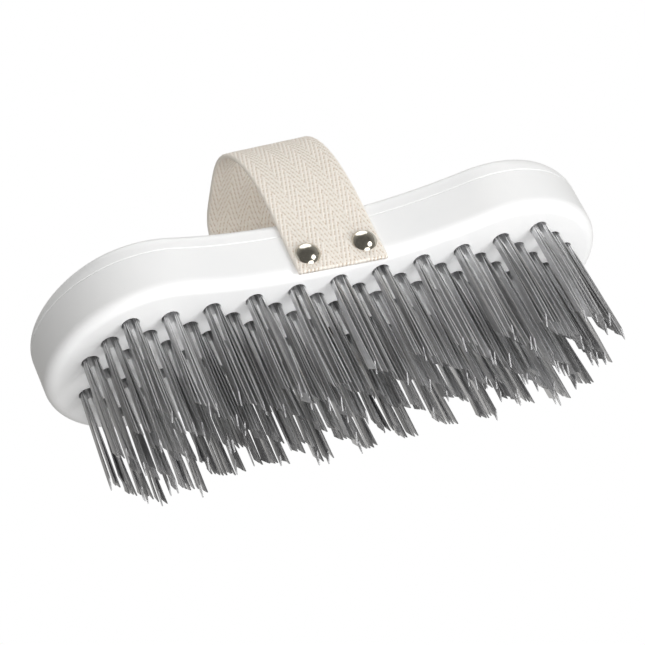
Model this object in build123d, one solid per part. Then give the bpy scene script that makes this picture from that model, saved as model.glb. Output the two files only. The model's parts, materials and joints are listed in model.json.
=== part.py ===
"""Livestock and horse grooming brush: moulded back, flat steel wire tufts, webbing hand strap.

Millimetres, +Z up. The brush stands on its wire tips with the hand strap on top.
X runs along the length, Y across the width. The origin is on the floor under the middle.
"""
from build123d import *
import math
import os
import random

# ---- driving dimensions -------------------------------------------------------------------
# body outline, a dogbone seen from above: two round ends joined by two shallow waist arcs
END_RADIUS = 38.5
END_CENTRE_X = 64.0
WAIST_HALF_WIDTH = 29.7

# body heights, above the face that carries the wire
BLOCK_HEIGHT = 17.0
BODY_HEIGHT = 24.4
FACE_EDGE_RADIUS = 4.2
BACK_EDGE_RADIUS = 5.0
SEAM_CHAMFER = 0.3
END_DROP = 3.0
END_DROP_LENGTH = 34.0

# hollow inside the body
BLOCK_FLOOR = 12.0
BLOCK_WALL = 6.0
COVER_WALL = 2.6
COVER_SIDE_WALL = 4.6
RIB_THICKNESS = 2.4
PEG_RADIUS = 2.5
PEG_CLEARANCE = 0.05
PEG_DEPTH = 5.0

# tufts
ROW_COUNT = 7
HALF_COLUMNS = 6
TUFT_PITCH = 15.4
ROW_PITCH = 7.25
END_SQUEEZE = 0.05
END_FAN = 0.25
HOLE_RADIUS = 3.15
HOLE_DEPTH = 9.5
WIRE_REACH = 42.0
WIRE_THICKNESS = 0.45
WIRE_GAP = 0.1
WIRE_WIDTH = 3.0
WIRES_PER_TUFT = 3
TUFT_GAP = 2.0
FOLD_HEIGHT = 8.6
END_SPLAY_DEG = 1.5
WIRE_FAN_DEG = 1.0
LEAN_SPREAD_DEG = 0.5
TURN_SPREAD_DEG = 0.5
ROW_TILT_DEG = 1.5
TIP_CUT_DEG = (25, 50)
TIP_SPREAD = 4.5
ANCHOR_THICKNESS = 0.8
ANCHOR_LENGTH = 7.4
ANCHOR_HEIGHT = 2.0
ANCHOR_GAP = 0.15

# hand strap
STRAP_WIDTH = 32.0
STRAP_THICKNESS = 1.8
STRAP_WALL_GAP = 0.05
STRAP_END = -1.0
STRAP_SPRING_LINE = 19.0
STRAP_RISE = 58.6
STRAP_NEAR_FULLNESS = 3.2
STRAP_FAR_FULLNESS = 4.0
STRAP_LEAN = 13.9
STRAP_LEAN_POWER = 2.1
ARCH_STEPS = 24

# nails that hold the strap
NAIL_HALF_SPACING = 10.3
NAIL_ABOVE_STRAP_END = 7.2
NAIL_HEAD_RADIUS = 4.4
NAIL_HEAD_HEIGHT = 2.9
NAIL_SHANK_RADIUS = 1.3
NAIL_SHANK_LENGTH = 15.0
NAIL_POINT = 3.0
NAIL_RIM_HEIGHT = 0.3
NAIL_RIM_BEVEL = 0.2
NAIL_CLEARANCE = 0.03

# cutters and plugs run this far past the faces they meet
OVERSHOOT = 1.0

# ---- derived sizes ------------------------------------------------------------------------
FACE_Z = WIRE_REACH
SEAM_Z = FACE_Z + BLOCK_HEIGHT
BACK_Z = FACE_Z + BODY_HEIGHT
NAIL_Z = FACE_Z + STRAP_END + NAIL_ABOVE_STRAP_END
WAIST_RADIUS = (END_CENTRE_X**2 + WAIST_HALF_WIDTH**2 - END_RADIUS**2) / (2 * (END_RADIUS - WAIST_HALF_WIDTH))
# the strap lies flat, so it touches the hollow waist wall at its two edges
WALL_AT_STRAP_EDGE = (
    WAIST_HALF_WIDTH + WAIST_RADIUS - math.sqrt(WAIST_RADIUS**2 - (STRAP_WIDTH / 2) ** 2)
)
STRAP_INSIDE_Y = WALL_AT_STRAP_EDGE + STRAP_WALL_GAP
STRAP_MIDDLE_Y = STRAP_INSIDE_Y + STRAP_THICKNESS / 2


def dogbone(inset=0.0):
    """The body outline, moved inward by inset; its arcs stay tangent and parallel."""
    end_radius = END_RADIUS - inset
    waist = WAIST_HALF_WIDTH - inset
    waist_radius = WAIST_RADIUS + inset
    reach = end_radius / (end_radius + waist_radius)
    join_x = END_CENTRE_X * (1 - reach)
    join_y = (waist + waist_radius) * reach
    tip_x = END_CENTRE_X + end_radius
    outline = [
        ThreePointArc((-join_x, -join_y), (0, -waist), (join_x, -join_y)),
        ThreePointArc((join_x, -join_y), (tip_x, 0), (join_x, join_y)),
        ThreePointArc((join_x, join_y), (0, waist), (-join_x, join_y)),
        ThreePointArc((-join_x, join_y), (-tip_x, 0), (-join_x, -join_y)),
    ]
    return make_face(outline)


def slab(inset, low_z, high_z):
    """A dogbone plate between two heights."""
    return extrude(Pos(0, 0, low_z) * dogbone(inset), high_z - low_z)


def edges_at(solid, height):
    """The edges of a solid that lie level at one height."""
    return solid.edges().filter_by_position(Axis.Z, height - 0.01, height + 0.01)


# ---- tuft layout --------------------------------------------------------------------------
def row_columns(row):
    """Column numbers along one row: rows are staggered by half a pitch."""
    if row % 2 == 1:
        return [column + 0.5 for column in range(-HALF_COLUMNS, HALF_COLUMNS)]
    longest = HALF_COLUMNS if row in (2, 4) else HALF_COLUMNS - 1
    return list(range(-longest, longest + 1))


def tuft_place(row, column):
    """Centre of one tuft hole: columns close up and rows fan out towards the round ends."""
    outward = abs(column) / HALF_COLUMNS
    x = column * TUFT_PITCH * (1 - END_SQUEEZE * outward**3)
    y = (row - (ROW_COUNT - 1) / 2) * ROW_PITCH * (1 + END_FAN * outward**3)
    return x, y


def row_places(row):
    return [tuft_place(row, column) for column in row_columns(row)]


# ---- wire tufts ---------------------------------------------------------------------------
def wire_profile(half_gap, fold_z, left_lean, right_lean):
    """Side view of one flat wire folded into a U: straight in its hole, leaning below the face."""
    outer = half_gap + WIRE_THICKNESS
    drop = WIRE_REACH + OVERSHOOT
    left = drop * math.tan(math.radians(left_lean))
    right = drop * math.tan(math.radians(right_lean))
    corners = [
        (-outer + left, -drop),
        (-outer, 0),
        (-outer, fold_z),
        (outer, fold_z),
        (outer, 0),
        (outer + right, -drop),
        (half_gap + right, -drop),
        (half_gap, 0),
        (half_gap, fold_z - WIRE_THICKNESS),
        (-half_gap, fold_z - WIRE_THICKNESS),
        (-half_gap, 0),
        (-half_gap + left, -drop),
    ]
    return make_face(Polyline(*corners, close=True))


def tip_cutter(side, tip_z, slant, middle):
    """A block that crops the wire ends on one side (-1 left, +1 right) with a slanted cut."""
    size = 20
    block = Pos(0, 0, -size / 2) * Box(size, size, size)
    lowest = WIRE_WIDTH / 2 * abs(math.tan(math.radians(slant)))
    return Pos(middle + side * size / 2, 0, tip_z + lowest) * Rot(slant, 0, 0) * block


def folded_wire(order, splay, chance):
    """One flat wire; order 0 is the innermost of the nest."""
    half_gap = TUFT_GAP / 2 + order * (WIRE_THICKNESS + WIRE_GAP)
    fold_z = FOLD_HEIGHT - (WIRES_PER_TUFT - 1 - order) * (WIRE_THICKNESS + WIRE_GAP / 2)
    fan = WIRE_FAN_DEG * (order - 0.5)
    left_lean = splay - fan - chance.uniform(0, LEAN_SPREAD_DEG)
    right_lean = splay + fan + chance.uniform(0, LEAN_SPREAD_DEG)
    profile = Plane.XZ * wire_profile(half_gap, fold_z, left_lean, right_lean)
    wire = extrude(profile, WIRE_WIDTH / 2, both=True)
    middle = WIRE_REACH * math.tan(math.radians(splay))
    for side in (-1, 1):
        shortfall = max(0.0, chance.uniform(-0.8, 1.0)) * TIP_SPREAD
        slant = chance.choice((-1, 1)) * chance.uniform(*TIP_CUT_DEG)
        wire -= tip_cutter(side, shortfall - WIRE_REACH, slant, middle)
    return wire


def tuft(x, y, chance):
    """A nest of folded wires standing in one hole."""
    splay = END_SPLAY_DEG * x / END_CENTRE_X
    tilt = ROW_TILT_DEG * y / END_RADIUS
    wires = []
    for order in range(WIRES_PER_TUFT):
        turn = tilt + chance.uniform(-TURN_SPREAD_DEG, TURN_SPREAD_DEG)
        place = Pos(x, y, FACE_Z) * Rot(turn, 0, 0)
        wires.extend((place * folded_wire(order, splay, chance)).solids())
    return wires


def tuft_row(row):
    chance = random.Random(row + 11)
    wires = []
    for x, y in row_places(row):
        wires.extend(tuft(x, y, chance))
    return Compound(children=wires)


def anchor(x, y):
    """The flat steel staple that pins a tuft's fold to the bottom of its hole."""
    nest_depth = WIRES_PER_TUFT * WIRE_THICKNESS + (WIRES_PER_TUFT - 1) * WIRE_GAP / 2
    top = FACE_Z + FOLD_HEIGHT - nest_depth - ANCHOR_GAP
    return Pos(x, y, top - ANCHOR_HEIGHT / 2) * Box(ANCHOR_THICKNESS, ANCHOR_LENGTH, ANCHOR_HEIGHT)


def anchor_row(row):
    return Compound(children=[anchor(x, y) for x, y in row_places(row)])


# ---- body ---------------------------------------------------------------------------------
def peg_places():
    """The cover's locating pegs: one in each round end, on the block's solid posts."""
    return [(-END_CENTRE_X, 0), (END_CENTRE_X, 0)]


def nail_places():
    """Nail name, x and the side of the body (-1 near, +1 far)."""
    return [
        ("near_left_nail", -NAIL_HALF_SPACING, -1),
        ("near_right_nail", NAIL_HALF_SPACING, -1),
        ("far_left_nail", -NAIL_HALF_SPACING, 1),
        ("far_right_nail", NAIL_HALF_SPACING, 1),
    ]


def nail_hole(x, side):
    """A round hole along Y for one nail, from outside the strap to past its point."""
    depth = STRAP_THICKNESS + NAIL_SHANK_LENGTH + OVERSHOOT
    start = side * (STRAP_INSIDE_Y + STRAP_THICKNESS + OVERSHOOT / 2)
    middle = start - side * depth / 2
    return Pos(x, middle, NAIL_Z) * Rot(90, 0, 0) * Cylinder(NAIL_SHANK_RADIUS + NAIL_CLEARANCE, depth)


def block_hollow():
    """The moulded block is cored from behind, leaving ribs, peg posts and the strap nail walls."""
    hollow = slab(BLOCK_WALL, FACE_Z + BLOCK_FLOOR, SEAM_Z + OVERSHOOT)
    height = BLOCK_HEIGHT - BLOCK_FLOOR
    middle = FACE_Z + BLOCK_FLOOR + height / 2
    width = 2 * END_RADIUS
    hollow -= Pos(0, 0, middle) * Box(STRAP_WIDTH + 2 * RIB_THICKNESS, width, height)
    for x in (-END_CENTRE_X, END_CENTRE_X):
        hollow -= Pos(x, 0, middle) * Box(RIB_THICKNESS, width, height)
        hollow -= Pos(x, 0, middle) * Cylinder(PEG_RADIUS + RIB_THICKNESS, height)
    hollow -= Pos(0, 0, middle) * Box(2 * END_CENTRE_X, RIB_THICKNESS, height)
    return hollow


def brush_block():
    block = slab(0, FACE_Z, SEAM_Z)
    block = fillet(edges_at(block, FACE_Z), FACE_EDGE_RADIUS)
    block = chamfer(edges_at(block, SEAM_Z), SEAM_CHAMFER)
    block -= block_hollow()
    holes = []
    for row in range(ROW_COUNT):
        for x, y in row_places(row):
            holes.append(Pos(x, y, FACE_Z + HOLE_DEPTH / 2) * Cylinder(HOLE_RADIUS, HOLE_DEPTH))
            holes.append(anchor(x, y))
    for _, x, side in nail_places():
        holes.append(nail_hole(x, side))
    for x, y in peg_places():
        socket_depth = PEG_DEPTH + OVERSHOOT / 2
        socket = Cylinder(PEG_RADIUS + PEG_CLEARANCE, socket_depth)
        holes.append(Pos(x, y, SEAM_Z - socket_depth / 2) * socket)
    return block - holes


def drooped_bar(top_z):
    """A bar along X, flat on top in the middle and curving down by END_DROP over both round ends."""
    tip_x = END_CENTRE_X + END_RADIUS
    flat_x = tip_x - END_DROP_LENGTH
    bend_radius = (END_DROP_LENGTH**2 + END_DROP**2) / (2 * END_DROP)
    halfway = END_DROP_LENGTH / 2
    halfway_drop = bend_radius - math.sqrt(bend_radius**2 - halfway**2)
    low_z = SEAM_Z - OVERSHOOT
    tip_z = top_z - END_DROP
    middle_z = top_z - halfway_drop
    side_view = [
        Polyline((-tip_x, tip_z), (-tip_x, low_z), (tip_x, low_z), (tip_x, tip_z)),
        ThreePointArc((tip_x, tip_z), (flat_x + halfway, middle_z), (flat_x, top_z)),
        Line((flat_x, top_z), (-flat_x, top_z)),
        ThreePointArc((-flat_x, top_z), (-flat_x - halfway, middle_z), (-tip_x, tip_z)),
    ]
    return extrude(Plane.XZ * make_face(side_view), END_RADIUS + OVERSHOOT, both=True)


def back_edges(cover):
    """The edges where the back meets the side wall."""
    edges = []
    for edge in cover.edges():
        box = edge.bounding_box()
        runs_across_back = box.size.X < 0.1
        if box.min.Z > SEAM_Z + 2 and not runs_across_back:
            edges.append(edge)
    return edges


def back_cover():
    """The shell that closes the block from behind, with two pegs that drop into the block."""
    cover = slab(0, SEAM_Z, BACK_Z) & drooped_bar(BACK_Z)
    cover = fillet(back_edges(cover), BACK_EDGE_RADIUS)
    cover = chamfer(edges_at(cover, SEAM_Z), SEAM_CHAMFER)
    cover -= slab(COVER_SIDE_WALL, SEAM_Z - OVERSHOOT, BACK_Z) & drooped_bar(BACK_Z - COVER_WALL)
    for x, y in peg_places():
        length = BODY_HEIGHT - BLOCK_HEIGHT - COVER_WALL + PEG_DEPTH
        cover += Pos(x, y, BACK_Z - COVER_WALL - length / 2) * Cylinder(PEG_RADIUS, length)
    return cover


# ---- hand strap and its nails -------------------------------------------------------------
def arch_point(angle):
    """Middle of the webbing in the end view; 180 degrees is the near spring line, 0 the far one."""
    across = math.cos(math.radians(angle))
    upward = math.sin(math.radians(angle))
    fullness = STRAP_NEAR_FULLNESS if across < 0 else STRAP_FAR_FULLNESS
    height = abs(upward) ** (2 / fullness)
    y = STRAP_MIDDLE_Y * math.copysign(abs(across) ** (2 / fullness), across)
    lean = STRAP_LEAN * height**STRAP_LEAN_POWER
    return y + lean, FACE_Z + STRAP_SPRING_LINE + STRAP_RISE * height


def arch_side(offset):
    """One face of the arch as a smooth curve, offset outward from the middle of the webbing."""
    spring_z = FACE_Z + STRAP_SPRING_LINE
    points = [(-STRAP_MIDDLE_Y - offset, spring_z)]
    for step in range(1, ARCH_STEPS):
        angle = 180 * (1 - step / ARCH_STEPS)
        y, z = arch_point(angle)
        before_y, before_z = arch_point(angle + 1)
        after_y, after_z = arch_point(angle - 1)
        reach = math.hypot(after_y - before_y, after_z - before_z)
        out_y = -(after_z - before_z) / reach
        out_z = (after_y - before_y) / reach
        points.append((y + offset * out_y, z + offset * out_z))
    points.append((STRAP_MIDDLE_Y + offset, spring_z))
    return Spline(*points, tangents=((0, 1), (0, -1)))


def strap_section():
    """End view of the strap: two straight legs joined by a full arch that leans to the far side."""
    spring_z = FACE_Z + STRAP_SPRING_LINE
    low_z = FACE_Z + STRAP_END
    inner = STRAP_INSIDE_Y
    outer = STRAP_INSIDE_Y + STRAP_THICKNESS
    near_foot = Polyline((-inner, spring_z), (-inner, low_z), (-outer, low_z), (-outer, spring_z))
    far_foot = Polyline((inner, spring_z), (inner, low_z), (outer, low_z), (outer, spring_z))
    return make_face([near_foot, arch_side(STRAP_THICKNESS / 2), far_foot, arch_side(-STRAP_THICKNESS / 2)])


def hand_strap():
    strap = extrude(Plane.YZ * strap_section(), STRAP_WIDTH / 2, both=True)
    return strap - [nail_hole(x, side) for _, x, side in nail_places()]


def nail(x, side):
    """A dome-headed nail, turned about Y: low round head, plain shank and a sharp point."""
    # a point on the dome between its top and its rim
    crown_x = 0.75 * NAIL_HEAD_RADIUS
    crown_y = 0.6 * NAIL_HEAD_HEIGHT
    head = [
        Line((0, NAIL_HEAD_HEIGHT), (0.01, NAIL_HEAD_HEIGHT)),
        ThreePointArc((0.01, NAIL_HEAD_HEIGHT), (crown_x, crown_y), (NAIL_HEAD_RADIUS, NAIL_RIM_HEIGHT)),
        Polyline(
            (NAIL_HEAD_RADIUS, NAIL_RIM_HEIGHT),
            (NAIL_HEAD_RADIUS - NAIL_RIM_BEVEL, 0),
            (NAIL_SHANK_RADIUS, 0),
        ),
        Polyline(
            (NAIL_SHANK_RADIUS, 0),
            (NAIL_SHANK_RADIUS, NAIL_POINT - NAIL_SHANK_LENGTH),
            (0, -NAIL_SHANK_LENGTH),
            (0, NAIL_HEAD_HEIGHT),
        ),
    ]
    body = revolve(make_face(head), Axis.Y)
    # the profile's +Y is the outward direction
    turned = body if side > 0 else Rot(0, 0, 180) * body
    return Pos(x, side * (STRAP_INSIDE_Y + STRAP_THICKNESS), NAIL_Z) * turned


# ---- write the parts ----------------------------------------------------------------------
def write(name, shape):
    shape.label = name
    export_step(shape, f"parts/{name}.step")


def main():
    os.makedirs("parts", exist_ok=True)
    write("brush_block", brush_block())
    write("back_cover", back_cover())
    for row in range(ROW_COUNT):
        write(f"tuft_row_{row + 1}", tuft_row(row))
        write(f"anchor_row_{row + 1}", anchor_row(row))
    write("hand_strap", hand_strap())
    for name, x, side in nail_places():
        write(name, nail(x, side))


main()
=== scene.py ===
"""Looks of the flat-wire grooming brush: white moulded body, steel wire tufts, herringbone hand strap."""

import json
import math

import bpy
import numpy as np
from mathutils import Matrix, Vector


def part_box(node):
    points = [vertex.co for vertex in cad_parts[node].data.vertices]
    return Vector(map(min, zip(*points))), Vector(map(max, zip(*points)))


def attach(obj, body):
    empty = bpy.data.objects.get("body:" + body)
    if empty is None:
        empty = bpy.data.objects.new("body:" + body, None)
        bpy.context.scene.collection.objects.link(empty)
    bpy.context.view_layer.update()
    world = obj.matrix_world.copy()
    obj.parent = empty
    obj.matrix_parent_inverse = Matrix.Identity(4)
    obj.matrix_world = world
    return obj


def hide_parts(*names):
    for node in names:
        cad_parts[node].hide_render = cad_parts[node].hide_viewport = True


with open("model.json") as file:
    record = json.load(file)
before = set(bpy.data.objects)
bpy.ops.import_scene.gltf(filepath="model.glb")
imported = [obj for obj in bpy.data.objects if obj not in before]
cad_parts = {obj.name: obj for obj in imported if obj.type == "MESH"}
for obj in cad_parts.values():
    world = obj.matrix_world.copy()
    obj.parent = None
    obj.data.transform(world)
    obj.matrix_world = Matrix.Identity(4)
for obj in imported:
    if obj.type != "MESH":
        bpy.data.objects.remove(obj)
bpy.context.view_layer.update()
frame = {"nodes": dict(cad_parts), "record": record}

MM = 0.001
BLOCK_LOW, BLOCK_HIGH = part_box("brush_block")
STRAP_LOW, STRAP_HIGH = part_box("hand_strap")
FACE_Z = BLOCK_LOW.z
SEAM_Z = BLOCK_HIGH.z

# ---- strap sizes ---------------------------------------------------------------------------
STRAP_WIDTH = STRAP_HIGH.x - STRAP_LOW.x
STRAP_THICKNESS = 1.8 * MM
STRAP_SPRING_Z = FACE_Z + 19 * MM
STRAP_LEAN = 13.9 * MM
STRAP_LEAN_POWER = 2.1
STRAP_NEAR_FULLNESS = 3.2
STRAP_FAR_FULLNESS = 4.0
STRAP_DRIFT = 1.6 * MM
STRAP_SKEW = 1.6 * MM
STRAP_END_SLANT = 0.9 * MM
WEAVE_PERIOD = 8.4 * MM
WEAVE_START = 3.6 * MM
WEAVE_RIB = 5.0 * MM
WEAVE_SLOPE = 3.6
WEAVE_RELIEF = 0.16 * MM
PICK_PITCH = 1.7 * MM
END_PITCH = 1.25 * MM
STRAP_STEP = 0.3 * MM
SELVEDGE = 0.9 * MM
CLOTH_GLOW = 0.2

# ---- wire sizes ----------------------------------------------------------------------------
ROW_COUNT = 7
WIRES_PER_TUFT = 3
WIRE_WIDTH = 3.0 * MM
WIRE_THICKNESS = 0.45 * MM
WIRE_GAP = 0.1 * MM
WIRE_CORNER = 0.1 * MM
TUFT_GAP = 2.0 * MM
FOLD_HEIGHT = 8.6 * MM
END_SPLAY = math.radians(1.5)
END_CENTRE_X = 64 * MM
LEG_STEPS = 14

# how the wires of a tuft spread, and the random variation of each leg
FAN_STEP_DEG = 0.85
FAN_CENTRE_ORDER = 0.8
FAN_SPREAD_DEG = 0.25
SWAY_SPREAD_DEG = 0.45
BOW_SPREAD = 0.3 * MM
TWIST_SPREAD_DEG = 7
STRAY_TWIST_SPREAD_DEG = 22
REGULAR_SHARE = 0.85
TUFT_TIP_RANGE = (-0.6 * MM, 4.0 * MM)
LEG_TIP_SPREAD = 1.7 * MM
WIRE_TIP_SPREAD = 0.5 * MM
TRIM_STEP = 0.8 * MM
CUT_SLOPE_RANGE = (0.8, 1.5)
TIP_CLEARANCE = 0.05 * MM

# ---- camera, measured against the body's own frame ------------------------------------------
VIEW_AZIMUTH = -21.85
VIEW_ELEVATION = -32.0
VIEW_ROLL = -25.64
VIEW_DISTANCE = 0.8658
LENS_TO_WIDTH = 3.8879
SENSOR_WIDTH_MM = 36
VIEW_OFFSET = (0.00335, 0.001276)

# ---- lights, placed from the middle of the seam ---------------------------------------------
KEY_PLACE = (0.53, -0.62, -0.57)
TOP_PLACE = (0.16, -0.32, 0.93)
LOW_PLACE = (0.1, -0.1, -0.99)
FRONT_DISTANCE = 1.2
KEY_WATTS = 5.0
TOP_WATTS = 5.4
FRONT_WATTS = 6.3
LOW_WATTS = 4.2
ROOM_SOFT = 0.23
FLOOR_GLOW = 0.42
ROOM_DARK = 0.15
ROOM_BRIGHT = 0.60


# ---- material helpers ----------------------------------------------------------------------
class Nodes:
    """A small wrapper that makes shader nodes and links them in one call."""

    def __init__(self, name):
        self.material = bpy.data.materials.new(name)
        self.material.use_nodes = True
        self.tree = self.material.node_tree
        self.tree.nodes.clear()
        self.output = self.tree.nodes.new("ShaderNodeOutputMaterial")
        self.surface = self.tree.nodes.new("ShaderNodeBsdfPrincipled")
        self.tree.links.new(self.surface.outputs[0], self.output.inputs[0])

    def add(self, kind, outlet=0, settings=None, **inputs):
        node = self.tree.nodes.new(kind)
        for key, value in (settings or {}).items():
            setattr(node, key, value)
        for key, value in inputs.items():
            socket = node.inputs[int(key[1:])] if key[0] == "i" and key[1:].isdigit() else node.inputs[key]
            self.put(socket, value)
        return node.outputs[outlet]

    def put(self, socket, value):
        if isinstance(value, bpy.types.NodeSocket):
            self.tree.links.new(value, socket)
        else:
            socket.default_value = value

    def set(self, **inputs):
        for key, value in inputs.items():
            self.put(self.surface.inputs[key.replace("_", " ")], value)

    def math(self, operation, a, b=0.0, c=0.0):
        return self.add("ShaderNodeMath", settings={"operation": operation}, i0=a, i1=b, i2=c)

    def remap(self, value, low, high, new_low, new_high):
        return self.add("ShaderNodeMapRange", i0=value, i1=low, i2=high, i3=new_low, i4=new_high)

    def noise(self, vector, scale, detail=3.0, roughness=0.5):
        return self.add("ShaderNodeTexNoise", Vector=vector, Scale=scale, Detail=detail, Roughness=roughness)

    def ramp(self, value, *stops):
        node = self.tree.nodes.new("ShaderNodeValToRGB")
        self.put(node.inputs[0], value)
        for index, (place, colour) in enumerate(stops):
            stop = node.color_ramp.elements[index] if index < 2 else node.color_ramp.elements.new(place)
            stop.position = place
            stop.color = (*colour, 1.0)
        return node.outputs[0]

    def bump(self, height, distance, strength=1.0, normal=None):
        socket = self.add("ShaderNodeBump", Height=height, Distance=distance, Strength=strength)
        if normal is not None:
            self.tree.links.new(normal, socket.node.inputs["Normal"])
        return socket

    def place(self):
        """The surface point in metres, in the shared frame."""
        return self.add("ShaderNodeTexCoord", outlet=3)

    def stretched(self, x, y, z):
        """The surface point scaled along each axis, for grain with a direction."""
        return self.add("ShaderNodeMapping", i0=self.place(), i3=(x, y, z))


# ---- materials -----------------------------------------------------------------------------
def plastic_material():
    """White injection-moulded plastic: satin, faint flow clouding, fine orange peel and small scuffs."""
    n = Nodes("white_moulded_plastic")
    where = n.place()
    clouds = n.noise(where, 28.0, 4.0, 0.6)
    peel = n.noise(where, 1400.0, 2.0, 0.5)
    scuffs = n.noise(n.stretched(900, 160, 500), 1.0, 3.0, 0.7)
    scuff_mask = n.remap(scuffs, 0.66, 0.78, 0.0, 1.0)
    specks = n.add("ShaderNodeTexVoronoi", Vector=where, Scale=170.0, Randomness=1.0)
    speck_mask = n.remap(specks, 0.0, 0.035, 1.0, 0.0)
    colour = n.ramp(clouds, (0.3, (0.86, 0.865, 0.87)), (0.7, (0.90, 0.90, 0.90)))
    dusty = n.add(
        "ShaderNodeMix", outlet=2, settings={"data_type": "RGBA"}, i0=n.math("MULTIPLY", speck_mask, 0.25),
        i6=colour, i7=(0.55, 0.54, 0.52, 1.0),
    )
    rough = n.math("ADD", n.remap(clouds, 0.3, 0.7, 0.30, 0.38), n.math("MULTIPLY", scuff_mask, 0.12))
    n.set(Base_Color=dusty, Roughness=rough)
    n.set(Normal=n.bump(peel, 0.00006, 0.35, n.bump(scuffs, 0.00008, 0.15)))
    n.surface.inputs["IOR"].default_value = 1.5
    n.surface.inputs["Subsurface Weight"].default_value = 0.08
    n.surface.inputs["Subsurface Radius"].default_value = (0.003, 0.003, 0.003)
    return n.material


def wire_material():
    """Bright rolled flat steel: long drawn streaks, a tone of its own for each wire, darker dull patches."""
    n = Nodes("rolled_flat_steel")
    streaks = n.noise(n.stretched(1600, 1600, 45), 1.0, 4.0, 0.65)
    patches = n.noise(n.stretched(220, 220, 60), 1.0, 3.0, 0.6)
    island = n.add("ShaderNodeNewGeometry", outlet=8)
    tone = n.math("ADD", n.math("MULTIPLY", streaks, 0.6), n.math("MULTIPLY", island, 0.4))
    colour = n.ramp(tone, (0.28, (0.40, 0.40, 0.405)), (0.72, (0.92, 0.92, 0.93)))
    rough = n.math("ADD", n.remap(patches, 0.35, 0.7, 0.30, 0.42), n.math("MULTIPLY", streaks, 0.08))
    n.set(Base_Color=colour, Roughness=rough, Normal=n.bump(streaks, 0.00005, 0.5))
    n.surface.inputs["Metallic"].default_value = 0.85
    return n.material


def cut_end_material():
    """The sheared wire ends: duller and darker than the rolled faces, with torn grain."""
    n = Nodes("sheared_steel")
    tear = n.noise(n.stretched(2200, 700, 2200), 1.0, 4.0, 0.7)
    n.set(Base_Color=n.ramp(tear, (0.3, (0.30, 0.30, 0.305)), (0.7, (0.52, 0.52, 0.525))))
    n.set(Roughness=n.remap(tear, 0.3, 0.7, 0.48, 0.62), Normal=n.bump(tear, 0.00008, 0.6))
    n.surface.inputs["Metallic"].default_value = 0.6
    return n.material


def nickel_material():
    """Polished nickel plate: warm grey mirror with faint buffing marks."""
    n = Nodes("polished_nickel")
    haze = n.noise(n.place(), 900.0, 3.0, 0.6)
    marks = n.noise(n.stretched(3000, 3000, 500), 1.0, 2.0, 0.5)
    colour = n.ramp(haze, (0.3, (0.52, 0.49, 0.42)), (0.7, (0.62, 0.59, 0.52)))
    n.set(Base_Color=colour, Roughness=n.remap(haze, 0.3, 0.7, 0.13, 0.19))
    n.set(Normal=n.bump(marks, 0.00002, 0.3))
    n.surface.inputs["Metallic"].default_value = 1.0
    return n.material


def anchor_material():
    """Plain flat staple steel inside the holes."""
    n = Nodes("staple_steel")
    grain = n.noise(n.stretched(500, 60, 500), 1.0, 3.0, 0.6)
    n.set(Base_Color=n.ramp(grain, (0.3, (0.30, 0.30, 0.31)), (0.7, (0.45, 0.45, 0.46))))
    n.set(Roughness=n.remap(grain, 0.3, 0.7, 0.3, 0.45), Normal=n.bump(grain, 0.00005, 0.4))
    n.surface.inputs["Metallic"].default_value = 1.0
    return n.material


def webbing_material():
    """Unbleached cotton herringbone twill: cream ribs of short floats, with painted tan shade in the hollows
    between them.
    """
    n = Nodes("cotton_herringbone")
    flat = n.add("ShaderNodeUVMap", settings={"uv_map": "cloth_metres"})
    split = n.add("ShaderNodeSeparateXYZ", i0=flat)
    across = split
    along = split.node.outputs[1]
    zigzag = n.math("PINGPONG", n.math("SUBTRACT", across, WEAVE_START), WEAVE_PERIOD / 2)
    phase = n.math("DIVIDE", n.math("ADD", along, n.math("MULTIPLY", zigzag, WEAVE_SLOPE)), WEAVE_RIB)
    rib = n.math("MULTIPLY_ADD", n.math("COSINE", n.math("MULTIPLY", phase, 2 * math.pi)), 0.5, 0.5)
    picks = n.math("COSINE", n.math("MULTIPLY", along, 2 * math.pi / PICK_PITCH))
    ends = n.math("COSINE", n.math("MULTIPLY", across, 2 * math.pi / END_PITCH))
    floats = n.math("MULTIPLY_ADD", n.math("MULTIPLY", picks, ends), 0.5, 0.5)
    # the twill pattern drives both the real relief and painted shade: low values mark the hollows between
    # ribs and floats
    weave_relief_and_shade = n.math("MULTIPLY_ADD", floats, 0.42, n.math("MULTIPLY", rib, 0.58))
    fluff = n.noise(n.place(), 2600.0, 3.0, 0.7)
    shade = n.noise(n.place(), 90.0, 3.0, 0.6)
    tone = n.math("ADD", n.math("MULTIPLY_ADD", fluff, 0.22, weave_relief_and_shade), n.math("MULTIPLY", shade, 0.12))
    # the selvedges are plain cream cord
    tone = n.math("ADD", tone, n.remap(n.math("PINGPONG", across, STRAP_WIDTH / 2), 0.0, SELVEDGE, 0.6, 0.0))
    # the tan end of the ramp is painted shade in the weave's hollows, laid over the real twill pattern
    colour = n.ramp(tone, (0.22, (0.70, 0.57, 0.45)), (0.52, (1.0, 0.95, 0.88)))
    height = n.math("MULTIPLY_ADD", fluff, 0.3, weave_relief_and_shade)
    n.set(Base_Color=colour, Roughness=0.88, Normal=n.bump(height, 0.00022, 0.8))
    n.surface.inputs["Specular IOR Level"].default_value = 0.2
    n.surface.inputs["Sheen Weight"].default_value = 0.25
    n.surface.inputs["Sheen Roughness"].default_value = 0.5
    # a little light comes through the cloth
    through = n.add("ShaderNodeBsdfTranslucent", Color=colour)
    cloth = n.add("ShaderNodeMixShader", i0=CLOTH_GLOW, i1=n.surface.outputs[0], i2=through)
    n.tree.links.new(cloth, n.output.inputs[0])
    return n.material


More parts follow.
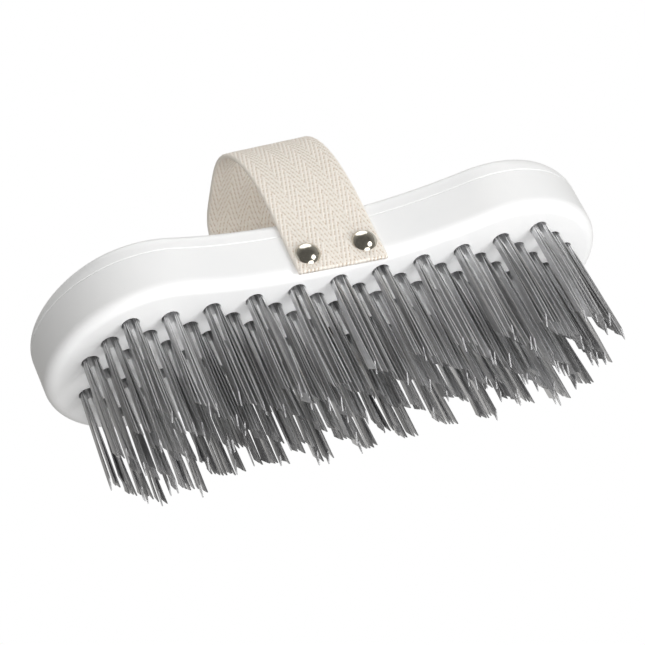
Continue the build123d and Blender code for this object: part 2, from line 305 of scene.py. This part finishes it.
# ---- wires ---------------------------------------------------------------------------------
def tuft_centres(row):
    """Tuft places in one row, each read from the staple that holds the tuft down."""
    staples = frame["nodes"][f"anchor_row_{row}"]
    corners = np.array([staples.matrix_world @ v.co for v in staples.data.vertices])
    corners = corners[np.argsort(corners[:, 0])]
    splits = np.flatnonzero(np.diff(corners[:, 0]) > 3 * MM) + 1
    return [group[:, :2].mean(axis=0) for group in np.split(corners, splits)]


def wire_section():
    """Cross-section corners of the flat wire as (across its thickness, across its width)."""
    thick, wide, cut = WIRE_THICKNESS / 2, WIRE_WIDTH / 2, WIRE_CORNER
    quarter = [(thick, wide - cut), (thick - cut, wide)]
    corners = quarter + [(-u, v) for u, v in quarter[::-1]]
    return np.array(corners + [(-u, -v) for u, v in corners])


def leg_rings(side, order, centre, leg_tip, splay, chance):
    """Rings of section corners down one wire leg, from the face to its slanted tip."""
    offset = TUFT_GAP / 2 + (order + 0.5) * WIRE_THICKNESS + order * WIRE_GAP
    fan_change = chance.uniform(-FAN_SPREAD_DEG, FAN_SPREAD_DEG)
    fan = math.radians(fan_change + FAN_STEP_DEG * (order - FAN_CENTRE_ORDER))
    sway = math.radians(chance.normal(0, SWAY_SPREAD_DEG))
    bow = chance.normal(0, BOW_SPREAD)
    twist_spread = TWIST_SPREAD_DEG if chance.random() < REGULAR_SHARE else STRAY_TWIST_SPREAD_DEG
    twist = math.radians(chance.normal(0, twist_spread))
    # the bundle is trimmed at a slant, so each wire ends a little lower than its neighbour on the left
    tip_change = chance.uniform(-WIRE_TIP_SPREAD, WIRE_TIP_SPREAD)
    tip = max(0.0, leg_tip - side * order * TRIM_STEP + tip_change)
    slant_way = 1 if chance.random() < REGULAR_SHARE else -1
    slant = slant_way * chance.uniform(*CUT_SLOPE_RANGE)
    low = tip + abs(slant) * WIRE_WIDTH / 2 + TIP_CLEARANCE
    section = wire_section()
    rings = []
    for step in range(LEG_STEPS + 1):
        t = step / LEG_STEPS
        drop = t * (FACE_Z - low)
        turn = twist * t**1.2
        lean = math.tan(splay + side * fan) * drop + bow * math.sin(math.pi * t)
        thick = np.array([side * math.cos(turn), side * math.sin(turn)])
        wide = np.array([-math.sin(turn), math.cos(turn)])
        middle = centre + np.array([side * offset + lean, math.tan(sway) * drop])
        plan = middle + section[:, :1] * thick + section[:, 1:] * wide
        height = np.full(len(section), FACE_Z - drop)
        if step == LEG_STEPS:
            height = height + slant * section[:, 1]
        rings.append(np.column_stack([plan, height]))
    return rings


def fold_ring(side, order, centre):
    """The mitred ring at one top corner of the wire's fold."""
    offset = TUFT_GAP / 2 + (order + 0.5) * WIRE_THICKNESS + order * WIRE_GAP
    fold_z = FACE_Z + FOLD_HEIGHT - (WIRES_PER_TUFT - 1 - order) * (WIRE_THICKNESS + WIRE_GAP / 2)
    section = wire_section()
    x = centre[0] + side * (offset + section[:, 0])
    y = centre[1] + section[:, 1]
    z = fold_z - WIRE_THICKNESS / 2 + section[:, 0]
    return np.column_stack([x, y, z])


def folded_wire(order, centre, leg_tips, chance):
    """One U-shaped flat wire as points and faces: left tip, fold, right tip."""
    splay = END_SPLAY * centre[0] / END_CENTRE_X
    left = leg_rings(-1, order, centre, leg_tips[0], splay, chance)
    right = leg_rings(1, order, centre, leg_tips[1], splay, chance)
    rings = left[::-1] + [fold_ring(-1, order, centre), fold_ring(1, order, centre)] + right
    size = len(rings[0])
    points = np.concatenate(rings)
    faces = []
    for ring in range(len(rings) - 1):
        for corner in range(size):
            following = (corner + 1) % size
            low, high = ring * size, (ring + 1) * size
            faces.append([low + corner, high + corner, high + following, low + following])
    last = (len(rings) - 1) * size
    faces.append(list(range(size)))
    faces.append(list(range(last, last + size))[::-1])
    return points, faces


def wire_row_piece(row, material, cut_material):
    """All the wires of one row as one mesh that stands for the plain CAD wires."""
    chance = np.random.default_rng(40 + row)
    points, faces, count = [], [], 0
    for centre in tuft_centres(row):
        leg_tips = chance.uniform(*TUFT_TIP_RANGE) + chance.uniform(-LEG_TIP_SPREAD, LEG_TIP_SPREAD, 2)
        for order in range(WIRES_PER_TUFT):
            wire_points, wire_faces = folded_wire(order, centre, leg_tips, chance)
            points.append(wire_points)
            faces.extend([[count + index for index in face] for face in wire_faces])
            count += len(wire_points)
    name = f"wire_row_{row}"
    mesh = bpy.data.meshes.new(name)
    mesh.from_pydata(np.concatenate(points).tolist(), [], faces)
    mesh.materials.append(material)
    mesh.materials.append(cut_material)
    for polygon in mesh.polygons:
        polygon.material_index = 1 if polygon.loop_total > 4 else 0
    mesh.update()
    piece = bpy.data.objects.new(name, mesh)
    bpy.context.collection.objects.link(piece)
    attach(piece, "root")
    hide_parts(f"tuft_row_{row}")
    return piece


# ---- hand strap ----------------------------------------------------------------------------
def strap_path(steps=1600):
    """Middle line of the strap seen from the end: points (y, z) evenly spaced from near end to far end."""
    half = -STRAP_LOW.y - STRAP_THICKNESS / 2
    rise = STRAP_HIGH.z - STRAP_THICKNESS / 2 - STRAP_SPRING_Z
    angle = np.linspace(math.pi, 0, steps)
    power = np.where(angle > math.pi / 2, 2 / STRAP_NEAR_FULLNESS, 2 / STRAP_FAR_FULLNESS)
    height = np.abs(np.sin(angle)) ** power
    y = half * np.sign(np.cos(angle)) * np.abs(np.cos(angle)) ** power + STRAP_LEAN * height**STRAP_LEAN_POWER
    z = STRAP_SPRING_Z + rise * height
    leg = np.linspace(STRAP_LOW.z, STRAP_SPRING_Z, 120)[:-1]
    y = np.concatenate([np.full(leg.size, -half), y, np.full(leg.size, half)])
    z = np.concatenate([leg, z, leg[::-1]])
    gaps = np.hypot(np.diff(y), np.diff(z))
    length = np.concatenate([[0], np.cumsum(gaps)])
    count = int(length[-1] / STRAP_STEP)
    even = np.linspace(0, length[-1], count)
    return even, np.interp(even, length, y), np.interp(even, length, z)


def weave_height(across, along):
    """Relief of the herringbone ribs, 0 to 1, matching the pattern in the material."""
    zigzag = np.abs((across - WEAVE_START + WEAVE_PERIOD / 2) % WEAVE_PERIOD - WEAVE_PERIOD / 2)
    phase = (along + zigzag * WEAVE_SLOPE) / WEAVE_RIB
    return 0.5 + 0.5 * np.cos(2 * math.pi * phase)


def ribbon_faces(rows, columns):
    """Faces of a closed ribbon: a tube of rows around both faces, and a cap over each cut end."""
    ring = 2 * columns
    first = np.arange(ring)
    second = (first + 1) % ring
    quads = []
    for row in range(rows - 1):
        low, high = row * ring, (row + 1) * ring
        quads.append(np.stack([low + first, low + second, high + second, high + first], axis=1))
    faces = np.concatenate(quads).tolist()
    for row, turn in ((0, 1), (rows - 1, -1)):
        base = row * ring
        for column in range(columns - 1):
            opposite = base + ring - 1 - column
            cap = [base + column, opposite, opposite - 1, base + column + 1]
            faces.append(cap[::turn])
    return faces


def strap_piece(material):
    """The webbing as one closed ribbon: woven outer and inner faces joined by rounded selvedges."""
    along, path_y, path_z = strap_path()
    slope_y = np.gradient(path_y, along)
    slope_z = np.gradient(path_z, along)
    size = np.hypot(slope_y, slope_z)
    out_y, out_z = -slope_z / size, slope_y / size

    columns = int(STRAP_WIDTH / STRAP_STEP)
    across = np.linspace(0, STRAP_WIDTH, columns)
    edge = np.minimum(across, STRAP_WIDTH - across)
    selvedge = np.sqrt(np.clip(1 - (1 - np.clip(edge / SELVEDGE, 0, 1)) ** 2, 0, 1))
    half = STRAP_THICKNESS / 2 * (0.25 + 0.75 * selvedge)

    grid_along, grid_across = np.meshgrid(along, across, indexing="ij")
    relief = (weave_height(grid_across, grid_along) - 0.5) * WEAVE_RELIEF * selvedge
    share = grid_along / along[-1]
    drift = STRAP_DRIFT * np.sin(math.pi * share) ** 2 - STRAP_SKEW * share**3
    x = grid_across - STRAP_WIDTH / 2 + drift
    # the near end is cut a little askew
    slant = STRAP_END_SLANT * (1 - 2 * grid_across / STRAP_WIDTH) * np.exp(-grid_along / (8 * MM))
    faces_xyz = []
    for side in (1, -1):
        offset = side * half[None, :] + side * relief
        y = path_y[:, None] + out_y[:, None] * offset
        z = path_z[:, None] + out_z[:, None] * offset + slant
        faces_xyz.append((x, y, z))
    outer, inner = faces_xyz
    loop = [np.concatenate([o, i[:, ::-1]], axis=1) for o, i in zip(outer, inner)]
    points = np.stack([part.ravel() for part in loop], axis=1)
    loop_u = np.concatenate([across, across[::-1]])

    ring = 2 * columns
    mesh = bpy.data.meshes.new("webbing_hand_strap")
    mesh.from_pydata(points.tolist(), [], ribbon_faces(along.size, columns))
    uv = mesh.uv_layers.new(name="cloth_metres")
    vertex = np.empty(len(mesh.loops), dtype=np.int32)
    mesh.loops.foreach_get("vertex_index", vertex)
    flat = np.stack([loop_u[vertex % ring], along[vertex // ring]], axis=1)
    uv.data.foreach_set("uv", flat.ravel())
    mesh.polygons.foreach_set("use_smooth", np.ones(len(mesh.polygons), dtype=bool))
    mesh.materials.append(material)
    mesh.update()
    strap = bpy.data.objects.new("webbing_hand_strap", mesh)
    bpy.context.collection.objects.link(strap)
    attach(strap, "root")
    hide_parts("hand_strap")
    return strap


# ---- stage ---------------------------------------------------------------------------------
def aim(thing, target):
    thing.rotation_mode = "QUATERNION"
    thing.rotation_quaternion = (Vector(target) - thing.location).to_track_quat("-Z", "Y")


def add_light(name, place, target, size, watts):
    data = bpy.data.lights.new(name, "AREA")
    data.shape = "DISK"
    data.size = size
    data.energy = watts
    light = bpy.data.objects.new(name, data)
    light.location = place
    aim(light, target)
    bpy.context.collection.objects.link(light)
    return light


def view_axes():
    """Right, up and forward of the camera, from azimuth, elevation and roll."""
    azimuth, elevation, roll = (math.radians(a) for a in (VIEW_AZIMUTH, VIEW_ELEVATION, VIEW_ROLL))
    back = Vector((
        math.sin(azimuth) * math.cos(elevation),
        -math.cos(azimuth) * math.cos(elevation),
        math.sin(elevation),
    ))
    level = (-back).cross(Vector((0, 0, 1))).normalized()
    upright = level.cross(-back)
    right = math.cos(roll) * level + math.sin(roll) * upright
    up = -math.sin(roll) * level + math.cos(roll) * upright
    return right, up, -back


def make_camera():
    right, up, forward = view_axes()
    data = bpy.data.cameras.new("camera")
    data.sensor_width = SENSOR_WIDTH_MM
    data.lens = SENSOR_WIDTH_MM * LENS_TO_WIDTH
    data.clip_start = 0.01
    data.clip_end = 50
    camera = bpy.data.objects.new("camera", data)
    aimed_at = Vector((0, 0, FACE_Z)) - VIEW_DISTANCE * (VIEW_OFFSET[0] * right + VIEW_OFFSET[1] * up)
    place = aimed_at - VIEW_DISTANCE * forward
    camera.matrix_world = Matrix.Translation(place) @ Matrix((right, up, -forward)).transposed().to_4x4()
    bpy.context.collection.objects.link(camera)
    bpy.context.scene.camera = camera


def make_floor():
    """A pale floor that the brush stands on. It has a top side only, so the low view sees past it."""
    mesh = bpy.data.meshes.new("floor")
    reach = 3.0
    corners = [(-reach, -reach, 0), (reach, -reach, 0), (reach, reach, 0), (-reach, reach, 0)]
    mesh.from_pydata(corners, [], [(0, 1, 2, 3)])
    floor = bpy.data.objects.new("floor", mesh)
    n = Nodes("pale_floor")
    mottle = n.noise(n.place(), 9.0, 4.0, 0.6)
    n.set(Base_Color=n.ramp(mottle, (0.3, (0.84, 0.84, 0.84)), (0.7, (0.88, 0.88, 0.88))), Roughness=0.9)
    n.surface.inputs["Emission Color"].default_value = (1.0, 1.0, 1.0, 1.0)
    n.surface.inputs["Emission Strength"].default_value = FLOOR_GLOW
    below = n.add("ShaderNodeNewGeometry", outlet=6)
    clear = n.add("ShaderNodeBsdfTransparent")
    seen = n.add("ShaderNodeMixShader", i0=below, i1=n.surface.outputs[0], i2=clear)
    n.tree.links.new(seen, n.output.inputs[0])
    mesh.materials.append(n.material)
    bpy.context.collection.objects.link(floor)
    floor.visible_shadow = False
    floor.visible_diffuse = False
    floor.visible_glossy = False


def make_world():
    """White to the camera and soft grey as light; polished metal sees it dark in front, brighter behind."""
    forward = view_axes()[2]
    world = bpy.data.worlds.new("studio")
    bpy.context.scene.world = world
    world.use_nodes = True
    tree = world.node_tree
    tree.nodes.clear()
    output = tree.nodes.new("ShaderNodeOutputWorld")
    seen = tree.nodes.new("ShaderNodeBackground")
    seen.inputs["Color"].default_value = (1, 1, 1, 1)
    lit = tree.nodes.new("ShaderNodeBackground")
    lit.inputs["Color"].default_value = (1.0, 0.985, 0.95, 1)
    way = tree.nodes.new("ShaderNodeTexCoord")
    facing = tree.nodes.new("ShaderNodeVectorMath")
    facing.operation = "DOT_PRODUCT"
    facing.inputs[1].default_value = forward
    tree.links.new(way.outputs["Generated"], facing.inputs[0])
    grade = tree.nodes.new("ShaderNodeMapRange")
    grade.inputs["From Min"].default_value = -0.4
    grade.inputs["From Max"].default_value = 0.9
    grade.inputs["To Min"].default_value = ROOM_DARK
    grade.inputs["To Max"].default_value = ROOM_BRIGHT
    tree.links.new(facing.outputs["Value"], grade.inputs["Value"])
    path = tree.nodes.new("ShaderNodeLightPath")
    level = tree.nodes.new("ShaderNodeMix")
    level.inputs["A"].default_value = ROOM_SOFT
    tree.links.new(path.outputs["Is Glossy Ray"], level.inputs["Factor"])
    tree.links.new(grade.outputs[0], level.inputs["B"])
    tree.links.new(level.outputs["Result"], lit.inputs["Strength"])
    mix = tree.nodes.new("ShaderNodeMixShader")
    tree.links.new(path.outputs["Is Camera Ray"], mix.inputs[0])
    tree.links.new(lit.outputs[0], mix.inputs[1])
    tree.links.new(seen.outputs[0], mix.inputs[2])
    tree.links.new(mix.outputs[0], output.inputs[0])


def make_lights():
    """A round key at the lower right, broad lights above and below, and a fill that metal does not mirror."""
    forward = view_axes()[2]
    centre = Vector((0, 0, SEAM_Z))
    add_light("key_light", centre + Vector(KEY_PLACE), centre, 0.55, KEY_WATTS)
    add_light("top_light", centre + Vector(TOP_PLACE), centre, 1.0, TOP_WATTS)
    front = add_light("front_fill", centre - FRONT_DISTANCE * forward, centre, 1.0, FRONT_WATTS)
    add_light("low_light", centre + Vector(LOW_PLACE), centre, 0.7, LOW_WATTS)
    front.visible_glossy = False


def main():
    bpy.context.scene.view_settings.view_transform = "Standard"
    plastic = plastic_material()
    wire = wire_material()
    cut_end = cut_end_material()
    nickel = nickel_material()
    staple = anchor_material()
    finishes = {"white_plastic": plastic, "wire_steel": wire, "nail_nickel": nickel, "anchor_steel": staple}
    for part in frame["record"]["subparts"]:
        finish = finishes.get(part["material_slot"])
        if finish is not None:
            frame["nodes"][part["node"]].material_slots[0].material = finish
    for row in range(1, ROW_COUNT + 1):
        wire_row_piece(row, wire, cut_end)
    strap_piece(webbing_material())
    make_floor()
    make_world()
    make_lights()
    make_camera()


main()
